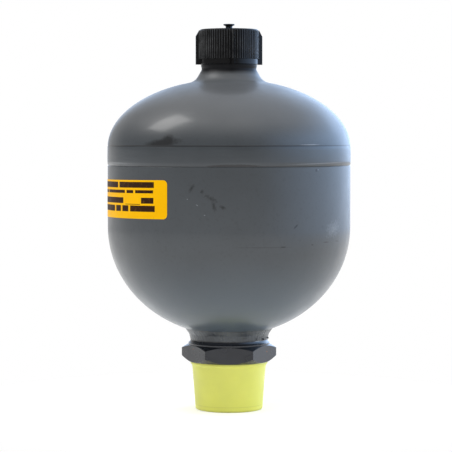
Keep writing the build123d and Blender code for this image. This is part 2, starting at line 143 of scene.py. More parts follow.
class AccumulatorColours(bpy.types.PropertyGroup):
    """Colours of the finishes."""

    paint: colour_property("Paint", "Dark grey paint of the vessel", (0.048, 0.055, 0.062))
    # Top light is painted light: a lighter colour on the upper end for light falling from above.
    top_light: colour_property("Top_light", "Pale bloom on the upper end", (0.108, 0.113, 0.120))
    # Low light is painted light: a bluish, lighter colour on the lower end for light from below.
    low_light: colour_property("Low_light", "Bluish bloom on the lower end", (0.080, 0.102, 0.124))
    fitting: colour_property("Fitting", "Paint on the port fitting", (0.017, 0.019, 0.025))
    gas_cap: colour_property("Gas cap", "Black moulded plastic", (0.005, 0.005, 0.0055))
    port_cap: colour_property("Port cap", "Yellow-green soft plastic", (0.83, 0.84, 0.16))
    label: colour_property("Label", "Yellow film of the label", (1.0, 0.53, 0.0))
    print_ink: colour_property("Print", "Dark brown print on the label", (0.035, 0.014, 0.005))
    steel: colour_property("Steel", "Bare machined steel", (0.50, 0.49, 0.47))
    rubber: colour_property("Rubber", "Diaphragm rubber", (0.018, 0.018, 0.017))
    floor: colour_property("Floor", "Pale studio floor", (0.86, 0.86, 0.86))


# ---- mesh helpers ------------------------------------------------------------------------
def reach_of(co):
    """Distance of a point from the upright axis, in millimetres."""
    return math.hypot(co.x, co.y) / MM


def push_out(v, share):
    """Multiply the distance of a vertex from the upright axis by this share."""
    v.co.x *= share
    v.co.y *= share


def only(kind, geometry):
    """The vertices or the edges among mixed geometry."""
    return [item for item in geometry if isinstance(item, kind)]


def ellipse_run(centre, radius, depth, start, stop, steps):
    """Points (radius, height) along an elliptical end, between two radii."""
    first = math.acos(min(start / radius, 1.0))
    last = math.acos(min(stop / radius, 1.0))
    turns = [first + (last - first) * i / steps for i in range(steps + 1)]
    return [(radius * math.cos(a), centre + depth * math.sin(a)) for a in turns]


def corner_run(centre, radius, start, stop, steps=5):
    """Points (radius, height) along a rounded corner, angles in degrees."""
    turns = [math.radians(start + (stop - start) * i / steps) for i in range(steps + 1)]
    return [(centre[0] + radius * math.cos(a), centre[1] + radius * math.sin(a)) for a in turns]


def lathe(bm, outline, steps=180, closed=True):
    """Turn an outline of (radius, height) in millimetres about the upright axis."""
    verts = [bm.verts.new((r * MM, 0.0, z * MM)) for r, z in outline]
    pairs = list(zip(verts, verts[1:]))
    if closed:
        pairs.append((verts[-1], verts[0]))
    edges = [bm.edges.new(pair) for pair in pairs]
    before = set(bm.verts) - set(verts)
    bmesh.ops.spin(
        bm, geom=verts + edges, cent=(0, 0, 0), axis=(0, 0, 1), angle=FULL_TURN, steps=steps,
        use_merge=True,
    )
    made = [v for v in bm.verts if v not in before]
    bmesh.ops.remove_doubles(bm, verts=made, dist=2e-6)
    return [v for v in bm.verts if v not in before]


def thread(bm, foot, crest, pitch, start, length, steps=64):
    """Helical ridge from radius foot to radius crest, fading out over a quarter turn."""
    half = pitch * 0.46
    flat = pitch * 0.07
    section = [(foot, -half), (crest, -flat), (crest, flat), (foot, half)]
    before = set(bm.verts)
    verts = [bm.verts.new((r * MM, 0.0, (start + z) * MM)) for r, z in section]
    edges = [bm.edges.new((verts[i], verts[(i + 1) % 4])) for i in range(4)]
    turns = length / pitch
    count = int(turns * steps)
    bmesh.ops.spin(
        bm, geom=verts + edges, cent=(0, 0, 0), axis=(0, 0, 1), angle=FULL_TURN * count / steps,
        steps=count, dvec=(0, 0, pitch * MM / steps),
    )
    made = [v for v in bm.verts if v not in before]
    ends = [e for e in bm.edges if e.is_boundary and e.verts[0] not in before]
    bmesh.ops.holes_fill(bm, edges=ends, sides=4)
    middle = (foot + crest) / 2
    for v in made:
        reach = reach_of(v.co)
        if (reach > middle) == (crest > foot):
            turn = (v.co.z / MM - start) / pitch
            fade = max(min(turn, turns - turn) / 0.25, 0.05)
            if fade < 1.0:
                push_out(v, (foot + (crest - foot) * fade) / reach)
    return made


def hexagon_loop(bm, across_flats, height, segments):
    """Hexagonal loop of edges with one flat towards -Y."""
    made = bmesh.ops.create_circle(
        bm, cap_ends=False, radius=across_flats * MM, segments=segments,
        matrix=Matrix.Translation((0, 0, height * MM)),
    )["verts"]
    side = math.pi / 3
    for v in made:
        turn = math.atan2(v.co.y, v.co.x) % side - side / 2
        v.co = at_radius(across_flats / 2 / math.cos(turn), height)(v.co)
    return list({e for v in made for e in v.link_edges})


def pull_loop(bm, edges, place):
    """Extrude a loop of edges and put each new vertex where place(co) says."""
    made = bmesh.ops.extrude_edge_only(bm, edges=edges)["geom"]
    for v in only(bmesh.types.BMVert, made):
        v.co = place(v.co)
    return only(bmesh.types.BMEdge, made)


def at_radius(radius, height):
    """Move a point to this radius and height, in millimetres, at the angle it has."""

    def place(co):
        reach = math.hypot(co.x, co.y)
        return Vector((co.x / reach * radius * MM, co.y / reach * radius * MM, height * MM))

    return place


def block(bm, size, centre, turn=0.0):
    """Box with its size and centre in millimetres, turned about the upright axis in degrees."""
    place = (
        Matrix.Rotation(math.radians(turn), 4, "Z")
        @ Matrix.Translation(Vector(centre) * MM)
        @ Matrix.Diagonal((size[0] * MM, size[1] * MM, size[2] * MM, 1.0))
    )
    return bmesh.ops.create_cube(bm, size=1.0, matrix=place)["verts"]


def mesh_object(bm, name):
    """Object made from the bmesh, linked to the scene."""
    mesh = bpy.data.meshes.new(name)
    bm.to_mesh(mesh)
    bm.free()
    return linked(name, mesh)


def linked(name, data):
    """Object that holds a mesh, a lamp or a camera, linked to the scene."""
    made = bpy.data.objects.new(name, data)
    bpy.context.scene.collection.objects.link(made)
    return made


def piece(bm, name, body, nodes, materials, bevel=0.0, sharp=35.0, segments=2):
    """Make the object, let it ride on its body and stand for its nodes."""
    bmesh.ops.recalc_face_normals(bm, faces=bm.faces)
    made = mesh_object(bm, name)
    made.data.shade_smooth()
    made.data.set_sharp_from_angle(angle=math.radians(sharp))
    for material in materials:
        made.data.materials.append(material)
    if bevel:
        edge = made.modifiers.new("Edges", "BEVEL")
        edge.width = bevel
        edge.segments = segments
        edge.limit_method = "ANGLE"
        edge.angle_limit = math.radians(sharp)
        edge.use_clamp_overlap = True
    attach(made, body)
    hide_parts(*nodes)
    return made


# ---- material helpers --------------------------------------------------------------------
def new_material(name):
    material = bpy.data.materials.new(name)
    material.use_nodes = True
    tree = material.node_tree
    return material, tree, tree.nodes["Principled BSDF"]


def made_once(name, finish, colours):
    """The material of this name, made by its finish function if it isn't there yet."""
    return bpy.data.materials.get(name) or finish(colours)


def feed(tree, node, *firsts, **named):
    """Link or set the first inputs of a node in their order, and others by name."""
    pairs = list(zip(node.inputs, firsts))
    pairs += [(node.inputs[key.replace("_", " ")], value) for key, value in named.items()]
    for socket, value in pairs:
        if isinstance(value, bpy.types.NodeSocket):
            tree.links.new(value, socket)
        else:
            socket.default_value = value
    return node


def add(tree, kind, *firsts, settings=None, **named):
    """Add a node, with settings for its own options and links or values for its inputs."""
    made = tree.nodes.new(kind)
    for key, value in (settings or {}).items():
        setattr(made, key, value)
    return feed(tree, made, *firsts, **named)


def object_coordinates(tree):
    return add(tree, "ShaderNodeTexCoord").outputs["Object"]


def grain(tree, scale, detail=3.0, stretch=(1.0, 1.0, 1.0), offset=0.0):
    """Noise on object coordinates; scale counts per metre."""
    place = add(
        tree, "ShaderNodeMapping", Vector=object_coordinates(tree), Scale=stretch,
        Location=(offset, offset, offset),
    )
    made = add(
        tree, "ShaderNodeTexNoise", Vector=place.outputs["Vector"], Scale=scale, Detail=detail,
        Roughness=0.55,
    )
    return made.outputs["Fac"]


def spread(tree, value, low_in, high_in, low_out=0.0, high_out=1.0):
    """Value carried over from one range to another, and held at its ends."""
    return add(
        tree, "ShaderNodeMapRange", value, low_in, high_in, low_out, high_out,
        settings={"clamp": True},
    ).outputs["Result"]


def patches(tree, scale, detail, low_in, high_in, low_out=0.0, high_out=1.0):
    """Uneven patches: noise carried over from one range to another."""
    return spread(tree, grain(tree, scale, detail), low_in, high_in, low_out, high_out)


def maths(tree, operation, *values):
    return add(tree, "ShaderNodeMath", *values, settings={"operation": operation}).outputs[0]


def times(tree, first, second):
    return maths(tree, "MULTIPLY", first, second)


def larger(tree, first, second):
    return maths(tree, "MAXIMUM", first, second)


def vector_maths(tree, operation, *vectors):
    """Length or product of vectors, as one number."""
    made = add(tree, "ShaderNodeVectorMath", *vectors, settings={"operation": operation})
    return made.outputs["Value"]


def tint(colour, share):
    """The colour made lighter or darker by a factor, and 1 at most."""
    return tuple(min(c * share, 1.0) for c in colour)


def blend(tree, factor, first, second):
    """Mix two colours; a colour is a link or three numbers."""
    made = add(tree, "ShaderNodeMix", factor, settings={"data_type": "RGBA"})
    for socket, value in zip(made.inputs[6:8], (first, second)):
        if isinstance(value, bpy.types.NodeSocket):
            tree.links.new(value, socket)
        else:
            socket.default_value = (*value, 1.0)
    return made.outputs[2]


def surface(tree, bsdf, colour, scale, detail, smoothest, roughest):
    """Link the colour, and a roughness that wanders between two values."""
    gloss = patches(tree, scale, detail, 0.3, 0.75, smoothest, roughest)
    feed(tree, bsdf, Base_Color=colour, Roughness=gloss)


def bump(tree, bsdf, height, strength, distance):
    made = add(tree, "ShaderNodeBump", Height=height, Strength=strength, Distance=distance)
    feed(tree, bsdf, Normal=made.outputs["Normal"])


def marks(tree, places, strength=1.0):
    """Mask of several marks on a round piece, at this strength.

    Each place is its azimuth from the front in degrees, its radius and height in mm, its
    width and tallness in mm, its tilt in degrees, how ragged it is and how soft its edge is.
    """
    coordinates = object_coordinates(tree)
    noisy = maths(tree, "SUBTRACT", grain(tree, 900.0), 0.5)
    depth = 6.0
    total = None
    for azimuth, radius, height, width, tall, tilt, rough, soft in places:
        turn = math.radians(azimuth)
        place = add(
            tree, "ShaderNodeMapping", settings={"vector_type": "TEXTURE"}, Vector=coordinates,
            Location=(radius * MM * math.sin(turn), -radius * MM * math.cos(turn), height * MM),
            Rotation=(0.0, math.radians(tilt), turn),
            Scale=(width / 2 * MM, depth * MM, tall / 2 * MM),
        )
        reach = vector_maths(tree, "LENGTH", place.outputs["Vector"])
        ragged = maths(tree, "ADD", reach, times(tree, noisy, rough * 2))
        mask = spread(tree, ragged, 1.0 - soft, 1.0, 1.0, 0.0)
        total = mask if total is None else larger(tree, total, mask)
    return total if strength == 1.0 else times(tree, total, strength)


def parts_of(tree, vector):
    """Sockets X, Y and Z of a vector."""
    return add(tree, "ShaderNodeSeparateXYZ", Vector=vector).outputs


def height_of(tree):
    """Height of the shaded point in metres."""
    return parts_of(tree, object_coordinates(tree))["Z"]


def wavering(tree, scale, reach):
    """Height that wanders up and down by about this many millimetres."""
    sway = maths(tree, "SUBTRACT", grain(tree, scale, 2.0, offset=5.0), 0.5)
    return maths(tree, "ADD", height_of(tree), times(tree, sway, 2 * reach * MM))


def ring_line(tree, level, middle, half, soft):
    """Mask of a line all round at one height, sizes in mm."""
    off = maths(tree, "ABSOLUTE", maths(tree, "SUBTRACT", level, middle * MM))
    return spread(tree, off, half * MM, (half + soft) * MM, 1.0, 0.0)


# ---- finishes ----------------------------------------------------------------------------
def vessel_paint(colours):
    """Dark grey paint with scuffs, scratches, soft pale patches and a fine orange peel, with
    painted light: lighter on the upper end, bluish and lighter on the lower end, a painted shadow
    on the neck under the gas cap and a painted dark reflection at the seam on the front left.
    """
    material, tree, bsdf = new_material("Vessel paint")
    base = colours.paint
    cloudy = blend(tree, patches(tree, 22.0, 4.0, 0.35, 0.7), base, tint(base, 1.22))
    fine = blend(tree, patches(tree, 650.0, 2.0, 0.55, 0.75, 0.0, 0.3), cloudy, tint(base, 0.65))
    height = height_of(tree)
    # Lighter on the upper end: painted light from above, made uneven by noise.
    dome = spread(tree, height, SEAM_HIGH * MM, (SEAM_HIGH + 11.0) * MM, 0.0, 0.85)
    drift = spread(tree, grain(tree, 35.0, 5.0, offset=3.0), 0.25, 0.8, 0.6, 1.0)
    lit_top = blend(tree, times(tree, dome, drift), fine, colours.top_light)
    # Bluish and lighter towards the bottom: painted light from below.
    low_light_top, low_light_full = 0.080, 0.052
    lit_low = blend(tree, spread(tree, height, low_light_top, low_light_full, 0.0, 0.9), lit_top, colours.low_light)
    # Near-black band on the neck just under the gas cap: painted shadow of the cap. The same mask
    # lowers the specular level there.
    neck_shade_start, neck_shade_full, neck_shade_share = 0.1668, 0.1690, 0.92
    neck = spread(tree, wavering(tree, 60.0, 0.8), neck_shade_start, neck_shade_full, 0.0, neck_shade_share)
    shaded_neck = blend(tree, neck, lit_low, (0.006, 0.006, 0.007))
    # Dark marks. The first two, at the seam on the front left, are a painted reflection of a dark
    # object; the others are scratches and scuffs.
    dark = marks(tree, [
        (-32.0, 60.6, 133.4, 25.0, 4.6, -6.0, 0.3, 0.6),
        (-29.0, 60.6, 134.4, 9.0, 7.0, -20.0, 0.2, 0.5),
        (-17.0, 60.5, 112.1, 2.0, 5.6, 35.0, 0.6, 0.9),
        (-12.2, 60.5, 110.5, 2.2, 2.6, 20.0, 0.6, 0.9),
        (-8.2, 60.5, 107.4, 9.0, 2.4, 25.0, 1.0, 1.0),
        (-6.8, 60.5, 103.7, 2.4, 6.0, -15.0, 0.8, 0.9),
        (-3.0, 60.5, 103.2, 4.0, 2.0, 25.0, 0.8, 0.9),
        (31.6, 60.5, 93.9, 3.6, 1.0, -40.0, 0.4, 0.5),
        (50.7, 60.5, 85.7, 5.4, 0.6, 0.0, 0.2, 0.5),
        (60.3, 60.5, 85.8, 5.0, 0.6, 4.0, 0.2, 0.5),
        (41.4, 60.5, 84.8, 2.0, 0.7, 0.0, 0.2, 0.5),
        (43.5, 60.5, 120.3, 2.0, 1.6, 0.0, 0.5, 0.5),
        (25.3, 60.4, 84.2, 3.6, 0.9, 0.0, 0.4, 0.6),
        (112.0, 60.5, 104.0, 6.0, 0.7, 18.0, 0.4, 0.5),
        (171.0, 60.5, 111.0, 2.4, 1.3, 40.0, 0.4, 0.5),
        (228.0, 60.5, 90.0, 7.0, 0.6, -12.0, 0.3, 0.5),
    ])
    dark = larger(tree, dark, marks(tree, [(16.0, 60.4, 84.2, 38.0, 0.7, 0.5, 0.3, 0.6)], 0.4))
    marked = blend(tree, times(tree, dark, 0.8), shaded_neck, (0.010, 0.010, 0.011))
    pale = marks(tree, [
        (40.0, 60.4, 132.6, 14.5, 0.6, 0.0, 0.3, 0.6),
        (44.6, 60.5, 120.6, 0.7, 0.7, 0.0, 0.3, 0.5),
        (-14.5, 60.5, 104.2, 1.4, 0.5, 30.0, 0.3, 0.6),
        (-11.0, 60.5, 99.5, 1.0, 0.5, -20.0, 0.3, 0.6),
        (-19.0, 60.5, 107.0, 0.8, 0.6, 0.0, 0.3, 0.6),
        (130.0, 60.5, 110.0, 22.0, 0.8, 8.0, 0.5, 0.6),
        (250.0, 60.5, 117.0, 12.0, 0.7, -20.0, 0.5, 0.6),
    ])
    soft = marks(tree, [
        (56.5, 60.5, 92.0, 15.0, 9.0, -15.0, 0.8, 1.0),
        (200.0, 60.5, 95.0, 16.0, 12.0, 0.0, 0.8, 1.0),
    ], 0.3)
    worn = blend(tree, larger(tree, times(tree, pale, 0.6), soft), marked, (0.26, 0.28, 0.31))
    gloss = spread(tree, grain(tree, 60.0, 4.0, offset=1.0), 0.3, 0.75, 0.34, 0.46)
    boss_low, boss_high = 0.156, 0.162
    feed(
        tree, bsdf, Base_Color=worn,
        Roughness=maths(tree, "ADD", gloss, times(tree, pale, 0.15)),
        Specular_IOR_Level=spread(tree, neck, 0.0, neck_shade_share, 0.4, 0.08),
        Coat_Weight=spread(tree, height, boss_low, boss_high, 0.3, 0.0),
        Coat_Roughness=0.14,
    )
    peel = maths(tree, "ADD", grain(tree, 420.0, 2.0), times(tree, dark, -0.8))
    bump(tree, bsdf, peel, 0.16, 0.00012)
    return material


def seam_paint(colours):
    """Paint over the circumferential weld, with a dark line where the upper shell meets it, a
    painted shadow line along its lower edge, a painted highlight just above that line and a
    painted dark reflection on the front left.
    """
    material, tree, bsdf = new_material("Seam paint")
    base = colours.paint
    cloudy = blend(tree, patches(tree, 30.0, 4.0, 0.35, 0.7), base, tint(base, 1.2))
    level = wavering(tree, 40.0, 0.35)
    # Painted shadow along the lower edge of the weld band, in the groove under it; these two marks
    # widen it in two places.
    thick = marks(tree, [
        (2.0, 60.6, 122.0, 32.0, 4.0, 0.0, 0.2, 0.3),
        (140.0, 60.6, 121.9, 50.0, 3.0, 0.0, 0.2, 0.3),
    ])
    edge = maths(tree, "ADD", level, times(tree, thick, -0.9 * MM))
    lower = spread(tree, edge, (SEAM_LOW + 0.35) * MM, (SEAM_LOW + 0.8) * MM, 1.0, 0.0)
    breaks = spread(tree, grain(tree, 26.0, 3.0, (1.0, 1.0, 0.2)), 0.42, 0.6, 0.35, 1.0)
    lower = times(tree, lower, larger(tree, breaks, thick))
    upper = spread(tree, level, (SEAM_HIGH - 0.95) * MM, (SEAM_HIGH - 0.45) * MM, 0.0, 0.85)
    # Dark patch at the seam on the front left: painted reflection of a dark object.
    dark_reflection = marks(tree, [(-30.0, 60.6, 132.9, 14.0, 3.0, -5.0, 0.5, 0.8)])
    line = larger(tree, larger(tree, lower, upper), dark_reflection)
    lined = blend(tree, times(tree, line, 0.85), cloudy, (0.010, 0.010, 0.011))
    # Pale lines just above the lower shadow line: painted highlight where light catches the edge
    # of the band.
    pale = marks(tree, [
        (47.0, 60.6, 123.6, 62.0, 0.7, -1.0, 0.25, 0.7),
        (-62.0, 60.6, 123.6, 26.0, 0.6, 0.0, 0.3, 0.7),
        (165.0, 60.6, 123.7, 44.0, 0.6, 0.5, 0.3, 0.7),
    ], 0.45)
    surface(tree, bsdf, blend(tree, pale, lined, (0.22, 0.24, 0.27)), 70.0, 4.0, 0.32, 0.46)
    feed(tree, bsdf, Specular_IOR_Level=0.4, Coat_Weight=0.25, Coat_Roughness=0.16)
    rings = grain(tree, 260.0, 2.0, (0.25, 0.25, 2.2))
    bump(tree, bsdf, maths(tree, "SUBTRACT", rings, line), 0.30, 0.0002)
    return material


def fitting_paint(colours):
    """Thin paint on the machined port fitting, worn on its edges, with a rust speck."""
    material, tree, bsdf = new_material("Fitting paint")
    base = colours.fitting
    cloudy = blend(tree, patches(tree, 60.0, 3.0, 0.35, 0.7), tint(base, 0.85), tint(base, 1.2))
    rub_and_highlight = patches(tree, 260.0, 5.0, 0.68, 0.78, 0.0, 0.25)
    rubbed_and_highlit = blend(tree, rub_and_highlight, cloudy, (0.09, 0.09, 0.10))
    rust = marks(tree, [
        (66.0, 22.3, 29.6, 1.6, 1.1, 0.0, 0.6, 0.5),
        (300.0, 22.5, 31.0, 1.2, 0.9, 0.0, 0.6, 0.5),
    ], 0.85)
    surface(tree, bsdf, blend(tree, rust, rubbed_and_highlit, (0.16, 0.05, 0.015)), 100.0, 3.0, 0.20, 0.32)
    bump(tree, bsdf, grain(tree, 500.0, 2.0), 0.12, 0.00012)
    return material


def weld_paint(colours):
    """Paint over the rippled weld bead, with painted shade in the creases along its edges and in
    small dents, and a bare bluish streak.
    """
    material, tree, bsdf = new_material("Weld paint")
    base = colours.paint
    cloudy = blend(tree, patches(tree, 90.0, 3.0, 0.35, 0.7), tint(base, 0.85), tint(base, 1.6))
    level = wavering(tree, 90.0, 0.5)
    broken = spread(tree, grain(tree, 120.0, 2.0, (1.0, 1.0, 0.2)), 0.50, 0.58, 0.0, 0.9)
    # Dark lines along the top toe and the collar: painted shade in the creases where the bead
    # meets the shell and the collar.
    upper_crease_shade = times(tree, ring_line(tree, level, TOE_TOP - 0.3, 0.12, 0.2), broken)
    crease_shade = larger(tree, ring_line(tree, level, COLLAR_TOP + 0.25, 0.18, 0.2), upper_crease_shade)
    # Short dark dashes: painted shade in small dents in the bead.
    dent_shade = marks(tree, [
        (22.6, 20.6, 37.0, 4.0, 0.45, 0.0, 0.3, 0.5),
        (-35.0, 20.6, 38.0, 3.0, 0.4, 8.0, 0.3, 0.5),
        (160.0, 20.6, 37.4, 5.0, 0.4, -6.0, 0.3, 0.5),
    ])
    shaded = times(tree, larger(tree, crease_shade, dent_shade), 0.85)
    dark = blend(tree, shaded, cloudy, (0.008, 0.008, 0.009))
    bare = marks(tree, [
        (50.0, 19.6, 34.9, 8.0, 1.2, 3.0, 0.4, 0.6),
        (230.0, 19.8, 36.0, 5.0, 0.9, 0.0, 0.4, 0.6),
    ], 0.9)
    surface(tree, bsdf, blend(tree, bare, dark, (0.42, 0.50, 0.62)), 150.0, 3.0, 0.24, 0.40)
    bump(tree, bsdf, grain(tree, 420.0, 3.0), 0.25, 0.0002)
    return material


def cap_plastic(colours):
    """Black moulded plastic with a faint grain and scuffs, and a pale painted highlight along one
    edge of each rib.
    """
    material, tree, bsdf = new_material("Gas cap plastic")
    scuffs = patches(tree, 380.0, 5.0, 0.66, 0.8, 0.0, 0.25)
    scuffed = blend(tree, scuffs, colours.gas_cap, (0.03, 0.03, 0.031))
    way = parts_of(tree, object_coordinates(tree))
    # Pale stripe along one side of each rib crest: painted highlight of the light from the right,
    # broken up by noise.
    turn = maths(tree, "ARCTAN2", way["Y"], way["X"])
    rib = maths(tree, "FRACT", times(tree, turn, RIBS / FULL_TURN))
    crest = maths(tree, "ABSOLUTE", maths(tree, "SUBTRACT", rib, 0.30))
    edge = spread(tree, crest, 0.06, 0.14, 1.0, 0.0)
    rib_low = CAP_SEAT + BAND_HEIGHT
    tall = spread(tree, way["Z"], (rib_low - 0.1) * MM, (rib_low + 0.2) * MM)
    flat = add(tree, "ShaderNodeCombineXYZ", X=way["X"], Y=way["Y"])
    reach = vector_maths(tree, "LENGTH", flat.outputs["Vector"])
    tall = times(tree, tall, spread(tree, reach, 0.01455, 0.01475))
    uneven = spread(tree, grain(tree, 240.0, 3.0, offset=2.0), 0.3, 0.65, 0.25, 1.0)
    rub_and_highlight = times(tree, times(tree, edge, tall), uneven)
    rubbed_and_highlit = blend(tree, rub_and_highlight, scuffed, (0.085, 0.088, 0.092))
    surface(tree, bsdf, rubbed_and_highlit, 130.0, 4.0, 0.22, 0.34)
    feed(tree, bsdf, Specular_IOR_Level=0.22)
    bump(tree, bsdf, grain(tree, 1500.0, 2.0), 0.14, 0.00008)
    return material


def soft_plastic(colours):
    """Soft yellow-green plastic that lets a little light through."""
    material, tree, bsdf = new_material("Port cap plastic")
    base = colours.port_cap
    cloudy = blend(tree, patches(tree, 45.0, 3.0, 0.3, 0.7), base, tint(base, 1.12))
    height = height_of(tree)
    # Darker at the foot: painted shade where the cap stands on the floor.
    foot = spread(tree, height, 0.0002, 0.0012, 0.4, 0.0)
    foot_shaded = blend(tree, foot, cloudy, (0.42, 0.40, 0.07))
    ring = times(tree, ring_line(tree, height, 2.6, 0.12, 0.15), 0.18)
    ringed = blend(tree, ring, foot_shaded, (0.45, 0.44, 0.09))
    scuffs = patches(tree, 300.0, 5.0, 0.68, 0.78, 0.0, 0.25)
    surface(tree, bsdf, blend(tree, scuffs, ringed, (0.42, 0.42, 0.14)), 90.0, 3.0, 0.36, 0.5)
    feed(
        tree, bsdf, Subsurface_Weight=0.25, Subsurface_Radius=(1.0, 0.9, 0.3),
        Subsurface_Scale=0.002,
    )
    bump(tree, bsdf, grain(tree, 800.0, 2.0), 0.12, 0.0001)
    return material


def label_film(colours):
    """Yellow self-adhesive film, slightly uneven, with grimy edges."""
    material, tree, bsdf = new_material("Label film")
    base = colours.label
    deeper = (base[0] * 0.93, base[1] * 0.9, base[2])
    cloudy = blend(tree, patches(tree, 55.0, 4.0, 0.3, 0.75), base, deeper)
    grime = patches(tree, 480.0, 5.0, 0.64, 0.78, 0.0, 0.3)
    surface(tree, bsdf, blend(tree, grime, cloudy, (0.42, 0.22, 0.02)), 110.0, 3.0, 0.38, 0.5)
    feed(tree, bsdf, Specular_IOR_Level=0.06)
    bump(tree, bsdf, grain(tree, 260.0, 3.0), 0.10, 0.0001)
    return material


def label_ink(colours):
    """Dark print on the label, slightly worn."""
    material, tree, bsdf = new_material("Label print")
    wear = patches(tree, 700.0, 4.0, 0.55, 0.75, 0.0, 0.5)
    worn = blend(tree, wear, colours.print_ink, (0.20, 0.09, 0.008))
    surface(tree, bsdf, worn, 160.0, 3.0, 0.38, 0.5)
    feed(tree, bsdf, Specular_IOR_Level=0.06)
    bump(tree, bsdf, grain(tree, 260.0, 3.0), 0.10, 0.0001)
    return material


def turned_steel(colours):
    """Bare steel with turning marks."""
    material, tree, bsdf = new_material("Turned steel")
    base = colours.steel
    stained = blend(tree, patches(tree, 120.0, 4.0, 0.35, 0.75), base, tint(base, 0.62))
    surface(tree, bsdf, stained, 240.0, 4.0, 0.24, 0.42)
    feed(tree, bsdf, Metallic=1.0)
    bump(tree, bsdf, grain(tree, 500.0, 2.0, (0.3, 0.3, 4.0)), 0.25, 0.00008)
    return material


def moulded_rubber(colours):
    """Matt black rubber with a talc bloom."""
    material, tree, bsdf = new_material("Moulded rubber")
    bloom = patches(tree, 70.0, 5.0, 0.5, 0.8, 0.0, 0.4)
    talc = blend(tree, bloom, colours.rubber, (0.10, 0.10, 0.095))
    surface(tree, bsdf, talc, 150.0, 3.0, 0.6, 0.8)
    bump(tree, bsdf, grain(tree, 900.0, 3.0), 0.2, 0.0001)
    return material


# ---- shells and welds --------------------------------------------------------------------
def soften(outline, index, reach, steps=5):
    """Round one corner of an outline, starting this far from it on each side."""
    before, corner, after = (Vector(outline[index + k]) for k in (-1, 0, 1))
    start = corner + (before - corner).normalized() * reach
    stop = corner + (after - corner).normalized() * reach
    curve = []
    for i in range(steps + 1):
        t = i / steps
        point = start * (1 - t) ** 2 + corner * 2 * t * (1 - t) + stop * t ** 2
        curve.append((point.x, point.y))
    return outline[:index] + curve + outline[index + 1:]


class ACCUMULATOR_OT_upper_shell(bpy.types.Operator):
    """Upper half with its dished end, gas neck and threaded boss"""

    bl_idname = "accumulator.upper_shell"
    bl_label = "Upper shell"

    def execute(self, context):
        sizes = context.scene.accumulator_sizes
        core, screw_bore, head_bore = 11.05, 6.1, 8.6
        seat = BOSS_TOP - 6.0
        ledge = high("clamp_ring") + 0.3
        outer = ellipse_run(UPPER_CENTRE, BODY_R, UPPER_HEIGHT, SEAM_RIM, NECK_FOOT_R, 40)
        neck = [
            (13.5, NECK_FOOT + 6.0),
            (13.9, NECK_FOOT + 7.6),
            (13.9, CAP_SEAT),
            (11.0, CAP_SEAT),
            (11.0, CAP_SEAT + 1.4),
            (core, CAP_SEAT + 2.0),
            (core, BOSS_TOP - 0.3),
            (core - 0.3, BOSS_TOP),
            (head_bore + 0.15, BOSS_TOP),
            (head_bore, BOSS_TOP - 0.15),
            (head_bore, seat),
            (screw_bore, seat),
        ]
        outline = soften(outer + neck, len(outer), 0.8)
        foot = len(outer) - 4
        outline = soften(outline[:foot] + outline[foot + 3:], foot, 3.0, 8)
        inner_height = UPPER_HEIGHT - WALL
        outline += ellipse_run(UPPER_CENTRE, INNER_R, inner_height, screw_bore, INNER_R - 0.07, 24)
        outline += [(SEAT_R, ledge), (SEAT_R, SEAM_MID + 1.0)]
        bm = bmesh.new()
        lathe(bm, outline, 240)
        start = CAP_SEAT + 2.1
        thread(bm, 11.0, 12.0, sizes.gas_pitch / MM, start, BOSS_TOP - 0.9 - start, 80)
        paint = vessel_paint(context.scene.accumulator_colours)
        piece(bm, "UpperShell", "vessel", ["upper_shell"], [paint], sharp=28.0)
        return {"FINISHED"}


class ACCUMULATOR_OT_lower_shell(bpy.types.Operator):
    """Deep lower half with the seat for the diaphragm"""

    bl_idname = "accumulator.lower_shell"
    bl_label = "Lower shell"

    def execute(self, context):
        outline = ellipse_run(LOWER_CENTRE, BODY_R, -LOWER_DEPTH, BODY_R, SPIGOT_R, 48)
        outline += ellipse_run(LOWER_CENTRE, INNER_R, WALL - LOWER_DEPTH, SPIGOT_R, INNER_R, 32)
        outline += [
            (INNER_R, BEAD_LOW),
            (SEAT_R, BEAD_LOW),
            (SEAT_R, SEAM_MID - 1.0),
            (BODY_R, SEAM_LOW),
        ]
        bm = bmesh.new()
        lathe(bm, outline, 240)
        colours = context.scene.accumulator_colours
        paint = made_once("Vessel paint", vessel_paint, colours)
        piece(bm, "LowerShell", "vessel", ["lower_shell"], [paint], sharp=28.0)
        return {"FINISHED"}


class ACCUMULATOR_OT_seam_weld(bpy.types.Operator):
    """Circumferential weld with slightly uneven edges"""

    bl_idname = "accumulator.seam_weld"
    bl_label = "Seam weld"

    def execute(self, context):
        outline = [
            (BODY_R - 0.02, SEAM_LOW),
            (BODY_R - 0.32, SEAM_LOW + 0.12),
            (BODY_R - 0.34, SEAM_LOW + 0.45),
            (BODY_R + 0.02, SEAM_LOW + 0.95),
            (BODY_R + 0.08, SEAM_LOW + 2.4),
            (BODY_R + 0.11, SEAM_MID - 1.2),
            (BODY_R + 0.11, SEAM_MID + 1.2),
            (BODY_R + 0.08, SEAM_HIGH - 2.4),
            (BODY_R + 0.03, SEAM_HIGH - 0.8),
            (BODY_R - 0.12, SEAM_HIGH - 0.45),
            (SEAM_RIM - 0.02, SEAM_HIGH),
            (SEAT_R, SEAM_MID + 1.0),
            (SEAT_R, SEAM_MID - 1.0),
        ]
        bm = bmesh.new()
        for v in lathe(bm, outline, 360):
            reach, height = reach_of(v.co), v.co.z / MM
            if reach > BODY_R - 0.5 and SEAM_LOW + 0.05 < height < SEAM_HIGH - 0.05:
                swell = noise.noise(v.co * 90.0) * 0.03
                push_out(v, 1 + swell / reach)
                v.co.z += noise.noise(v.co * 45.0 + Vector((3.0, 0.0, 0.0))) * 0.18 * MM
        paint = seam_paint(context.scene.accumulator_colours)
        piece(bm, "SeamWeld", "vessel", ["seam_weld"], [paint], sharp=50.0)
        return {"FINISHED"}


